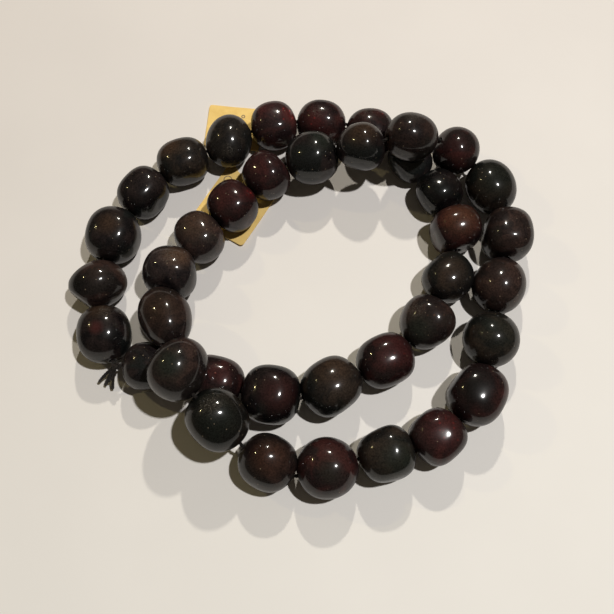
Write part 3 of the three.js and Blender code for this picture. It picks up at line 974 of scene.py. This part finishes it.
def wound(name, runs, closed, ply, offset, finish):
    """The twisted cord along the runs, as a plain mesh."""
    holder = path_object(name + "_path", runs, closed)
    modifier = holder.modifiers.new("twist", "NODES")
    modifier.node_group = TWIST
    sockets = {s.name: s.identifier for s in TWIST.interface.items_tree if s.in_out == "INPUT"}
    values = {"Ply Radius": ply, "Offset": offset, "Pitch": PLY_TWIST, "Plies": PLIES,
              "Finish": finish}
    for title, value in values.items():
        modifier[sockets[title]] = value
    bpy.context.view_layer.update()
    evaluated = holder.evaluated_get(bpy.context.evaluated_depsgraph_get())
    mesh = bpy.data.meshes.new_from_object(evaluated)
    mesh.name = name
    holder.modifiers.remove(modifier)
    bpy.data.objects.remove(holder)
    return mesh


print("plies turn once in", round(PLY_TWIST / MM, 1), "mm")

# %% [markdown]
# The thread is dull dark brown with paler tips. Fibre streaks are a fine
# noise, and the colour lifts a little towards the tips, which is a distance from the knot.

# %% Thread finish
KNOT_PLACE = Vector((-32.61, -16.29, 5.2)) * MM
THREAD_DARK = (0.006, 0.0045, 0.0038)
THREAD_LIGHT = (0.021, 0.015, 0.0115)
THREAD_TIP = (0.050, 0.041, 0.034)
TIP_START, TIP_FULL = 4.4 * MM, 5.6 * MM
TIP_LAST, TIP_GONE = 6.0 * MM, 6.5 * MM
THREAD_RELIEF = (0.5, 0.05 * MM)


def thread_finish():
    made, tree, shader = new_material("dark_thread", Roughness=0.8, Specular_IOR_Level=0.25,
                                      Sheen_Weight=0.05, Sheen_Roughness=0.5)
    where = own_place(tree)
    fibre = noise_at(tree, where, Scale=5200.0, Detail=3.0, Roughness=0.7)
    colour = blend(tree, between(tree, fibre, 0.35, 0.7), THREAD_DARK, THREAD_LIGHT)
    away = distance_to(tree, where, KNOT_PLACE)
    tips = math_node(tree, "MULTIPLY", between(tree, away, TIP_START, TIP_FULL),
                     between(tree, away, TIP_GONE, TIP_LAST))
    join(tree, blend(tree, tips, colour, THREAD_TIP), shader.inputs["Base Color"])
    join(tree, relief(tree, fibre, *THREAD_RELIEF), shader.inputs["Normal"])
    return made


THREAD = thread_finish()
print("thread finish ready")

# %% [markdown]
# The cord runs straight through each hole and bends between beads, so its path is four places in
# each hole, taken in the order of threading. The upper strand's path closes on itself. The lower
# strand's starts and ends in the knot.

# %% Cord's way through the holes
LOWER, UPPER = BEADS[:19], BEADS[19:]
HOLE_PLACES = (0.06, 0.35, 0.65, 0.94)


def facing_along(names, closed):
    """Each bead's two hole ends, in the order the cord passes them."""
    middles = [sum(HOLES[name]) / 2 for name in names]
    final = len(names) - 1
    ends = []
    for i, name in enumerate(names):
        before = middles[i - 1] if i or closed else middles[i]
        after = middles[(i + 1) % len(names)] if i < final or closed else middles[i]
        start, end = HOLES[name]
        ends.append((start, end) if (end - start) @ (after - before) > 0 else (end, start))
    return ends


def through(names, closed):
    """Places along the holes, one bead after the other."""
    return [start * (1 - share) + end * share
            for start, end in facing_along(names, closed) for share in HOLE_PLACES]


lower_way = through(LOWER, False)
upper_way = through(UPPER, True)
print("cord passes", len(LOWER) + len(UPPER), "holes")

# %% [markdown]
# The knot is a small overhand turn, which is the curve that mathematicians call a trefoil. Four cut
# ends fan out of it and droop to the table. They are looser than the cord, so their plies are
# thicker and lie closer to the middle.

# %% Cords, knot and cut ends
PLY, PLY_OFFSET, CORD_STEP = 0.17 * MM, 0.17 * MM, 0.45 * MM
KNOT_PLY, KNOT_OFFSET, KNOT_STEP = 0.16 * MM, 0.15 * MM, 0.15 * MM
TAIL_PLY, TAIL_OFFSET, TAIL_STEP = 0.20 * MM, 0.09 * MM, 0.3 * MM
KNOT_PLACES = 36
KNOT_SPREAD, KNOT_RISE = 0.5 * MM, 0.34 * MM
TAIL_TIPS = [(-36.3, -18.3, 1.3), (-35.15, -18.85, 1.2), (-33.85, -19.5, 1.2), (-34.4, -18.4, 2.0)]
TAIL_BENDS = (0.4, 0.7)
TAIL_LIFT = np.array([0, 0, 0.45]) * MM

knot = np.array(KNOT_PLACE)


def knot_turn(t):
    """A place on the overhand turn, t from 0 to a full circle."""
    spread = KNOT_SPREAD * (0.8 + 0.4 * math.cos(3 * t))
    return knot + np.array([spread * math.cos(2 * t), spread * math.sin(2 * t),
                            KNOT_RISE * math.sin(3 * t)])


def tail_way(tip):
    end = np.array(tip) * MM
    bends = [knot * (1 - share) + end * share + TAIL_LIFT for share in TAIL_BENDS]
    return smooth_path([knot, *bends, end], TAIL_STEP, False)


def joined(meshes, name):
    """One mesh out of several."""
    places, faces = [], []
    for mesh in meshes:
        base = len(places)
        places += [v.co[:] for v in mesh.vertices]
        faces += [tuple(base + v for v in p.vertices) for p in mesh.polygons]
    made = bpy.data.meshes.new(name)
    made.from_pydata(places, [], faces)
    made.polygons.foreach_set("use_smooth", [True] * len(faces))
    return made


def length_in_mm(runs):
    lengths = [np.linalg.norm(np.diff(run, axis=0), axis=1).sum() for run in runs]
    return round(float(sum(lengths)) / MM, 1)


upper_run = smooth_path(upper_way, CORD_STEP, True)
upper_cord = wound("upper_thread", [upper_run], True, PLY, PLY_OFFSET, THREAD)
add_piece("upper_thread", upper_cord, THREAD, "cord", "cord_upper")

lower_run = smooth_path([knot] + lower_way + [knot], CORD_STEP, False)
knot_run = smooth_path([knot_turn(2 * math.pi * i / KNOT_PLACES) for i in range(KNOT_PLACES)],
                       KNOT_STEP, True)
tails = [tail_way(tip) for tip in TAIL_TIPS]
lower_mesh = joined([
    wound("lower_thread_run", [lower_run], False, PLY, PLY_OFFSET, THREAD),
    wound("knot_turns", [knot_run], True, KNOT_PLY, KNOT_OFFSET, THREAD),
    wound("tail_ends", tails, False, TAIL_PLY, TAIL_OFFSET, THREAD),
], "lower_thread")
add_piece("lower_thread", lower_mesh, THREAD, "cord", "cord_lower")
print("upper cord", length_in_mm([np.vstack([upper_run, upper_run[:1]])]), "mm, lower cord",
      length_in_mm([lower_run]), "mm, cut ends", length_in_mm(tails), "mm")
print("thread faces:", len(upper_cord.polygons) + len(lower_mesh.polygons))

# %% [markdown]
# ## Card tag
# The tag is a small piece of buff card: two leaves joined by a neck. The card is dull, with soft
# blotches of pulp and pale fibres that stand up a little. Two thin round strokes of ink are drawn
# as distances from a place and broken where the pulp is low, so that they need no picture.

# %% Card finish
CARD_LIGHT = (0.86, 0.605, 0.205)
CARD_DARK = (0.76, 0.515, 0.158)
CARD_FIBRE = (0.90, 0.68, 0.32)
CARD_RELIEF = (0.4, 0.06 * MM)
FIBRE_SHARE = 0.55
INK = (0.06, 0.06, 0.09)
INK_SHARE = 0.8
# Each stroke: its middle, its radius and half its width.
LARGE_STROKE = (Vector((-14.66, 22.23, 0.35)) * MM, 0.75 * MM, 0.13 * MM)
SMALL_STROKE = (Vector((-11.98, 36.3, 0.35)) * MM, 0.30 * MM, 0.14 * MM)


def ring_mark(tree, where, place, radius, line):
    """1 on a thin round line about a place."""
    off = math_node(tree, "SUBTRACT", distance_to(tree, where, place), radius)
    return between(tree, math_node(tree, "ABSOLUTE", off), line, 0.4 * line)


def card_finish():
    made, tree, shader = new_material("buff_card", Roughness=0.75, Specular_IOR_Level=0.3)
    where = own_place(tree)
    pulp = noise_at(tree, where, Scale=420.0, Detail=5.0, Roughness=0.65)
    fibre = noise_at(tree, where, Scale=2600.0, Detail=4.0, Roughness=0.8, Distortion=1.5)
    colour = blend(tree, between(tree, pulp, 0.3, 0.7), CARD_DARK, CARD_LIGHT)
    raised = math_node(tree, "MULTIPLY", between(tree, fibre, 0.5, 0.78), FIBRE_SHARE)
    colour = blend(tree, raised, colour, CARD_FIBRE)
    stroke = math_node(tree, "MAXIMUM", ring_mark(tree, where, *LARGE_STROKE),
                       ring_mark(tree, where, *SMALL_STROKE))
    worn = math_node(tree, "MULTIPLY", stroke, between(tree, pulp, 0.36, 0.5))
    colour = blend(tree, math_node(tree, "MULTIPLY", worn, INK_SHARE), colour, INK)
    join(tree, colour, shader.inputs["Base Color"])
    join(tree, relief(tree, fibre, *CARD_RELIEF), shader.inputs["Normal"])
    return made


CARD = card_finish()
print("card finish ready")

# %% [markdown]
# The card's outline is read off the solid: it is the border of the flat top face.

# %% Outline of the card
CARD_STEP = 0.5 * MM


def top_outline(node):
    """The border of a flat solid's top face, corner after corner."""
    points, _, faces = merged_mesh(node)
    high = points[:, 2] > points[:, 2].max() - SAME_POINT
    sides = [(f[i], f[(i + 1) % len(f)]) for f in faces if high[f].all() for i in range(len(f))]
    follow = {a: b for a, b in sides if (b, a) not in sides}
    at = next(iter(follow))
    loop = []
    for _ in follow:
        loop.append(at)
        at = follow[at]
    return points[loop][:, :2]


def inside(loop, x, y, margin):
    """True where a point lies inside the loop and further than the margin from its border."""
    ahead = np.roll(loop, -1, axis=0)
    run = ahead - loop
    crossing = ((loop[:, 1] > y) != (ahead[:, 1] > y)) & (
        x < loop[:, 0] + (y - loop[:, 1]) * run[:, 0] / np.where(run[:, 1] == 0, 1, run[:, 1]))
    out = np.array([x, y]) - loop
    share = np.clip((out * run).sum(1) / (run**2).sum(1), 0, 1)
    near = np.linalg.norm(out - run * share[:, None], axis=1).min()
    return crossing.sum() % 2 == 1 and near > margin


def dense(loop, step):
    """The loop with points added so that no side is much longer than the step."""
    made = []
    for a, b in zip(loop, np.roll(loop, -1, axis=0)):
        parts = max(int(np.linalg.norm(b - a) / step), 1)
        made += [a + (b - a) * i / parts for i in range(parts)]
    return np.array(made)


border = dense(top_outline("tag"), CARD_STEP)
print("the card's border has", len(border), "points")

# %% [markdown]
# The outline is filled with a fine grid so that the card can bend, and given its thickness. The near
# corner lifts off the table by less than half a millimetre, which throws the thin dark line along
# that edge, and a small bevel takes the sharpness off the cut sides.

# %% Card tag
CARD_THICK = 0.35 * MM
CARD_SOFT = 0.07 * MM
CUT_ANGLE = math.radians(50)
GRID_MARGIN = 0.6 * CARD_STEP
CURL_POWER = 1.6
# Each curl: its corner, how high the corner stands and how far the curl reaches.
CURLS = (
    (Vector((-11.4, 8.0)) * MM, 0.42 * MM, 7.5 * MM),
    (Vector((-18.6, 38.9)) * MM, 0.18 * MM, 5.0 * MM),
)


def card_rise(x, y):
    """How far the card stands off the table: two corners curl up."""
    return sum(lift * max(0.0, 1 - (Vector((x, y)) - corner).length / reach)**CURL_POWER
               for corner, lift, reach in CURLS)


def card_mesh():
    low, high = border.min(0), border.max(0)
    grid = [(x, y) for x in np.arange(low[0], high[0], CARD_STEP)
            for y in np.arange(low[1], high[1], CARD_STEP) if inside(border, x, y, GRID_MARGIN)]
    count = len(border)
    flat = [Vector(p) for p in border] + [Vector(p) for p in grid]
    ring = [(i, (i + 1) % count) for i in range(count)]
    places, _, faces, *_ = delaunay_2d_cdt(flat, ring, [], 1, 1e-9)
    total = len(places)
    top = [(p.x, p.y, card_rise(p.x, p.y) + CARD_THICK) for p in places]
    bottom = [(p.x, p.y, card_rise(p.x, p.y)) for p in places]
    skin = [tuple(f) for f in faces] + [tuple(total + v for v in reversed(f)) for f in faces]
    sides = {(f[i], f[(i + 1) % 3]) for f in faces for i in range(3)}
    skin += [(a + total, b + total, b, a) for a, b in sides if (b, a) not in sides]
    mesh = bpy.data.meshes.new("card_tag")
    mesh.from_pydata(top + bottom, [], skin)
    return facing_out(mesh)


tag = add_piece("card_tag", card_mesh(), CARD, "tag_card", "tag")
soften = tag.modifiers.new("soft_edge", "BEVEL")
soften.width = CARD_SOFT
soften.segments = 2
soften.limit_method = "ANGLE"
soften.angle_limit = CUT_ANGLE
print("card tag faces:", len(tag.data.polygons))
